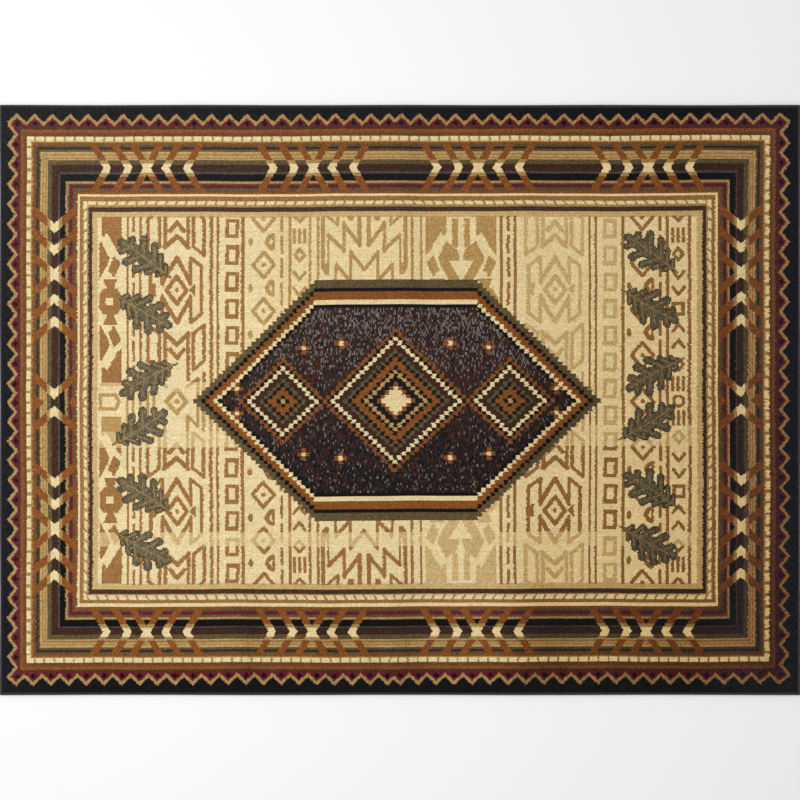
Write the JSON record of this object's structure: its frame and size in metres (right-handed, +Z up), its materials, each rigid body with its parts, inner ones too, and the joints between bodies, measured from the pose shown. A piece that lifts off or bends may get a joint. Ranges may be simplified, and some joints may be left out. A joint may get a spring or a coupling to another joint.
{
  "type": "lodge rug",
  "caption": "Flat machine-woven rectangular area rug with short dense pile, banded border and leaf-sprigged field, serged along each edge.",
  "frame": {"origin": "on the floor under the middle of the rug", "axes": "+X along the rug's length, +Y across its width, +Z up out of the pile"},
  "size_m": [2.17, 1.6, 0.0109],
  "materials": {
    "pile": "short cut pile of heat-set yarn in creams, golds, browns, rust, maroon and black, with a soft nap",
    "ground": "coarse plain ground weave of jute weft, bare on the underside",
    "serging": "charcoal overlock yarn wrapped tightly round the rim"
  },
  "bodies": {
    "root": {"woven_rug": "pile", "serging_front": "serging", "serging_right": "serging", "serging_back": "serging", "serging_left": "serging"}
  },
  "joints": []
}
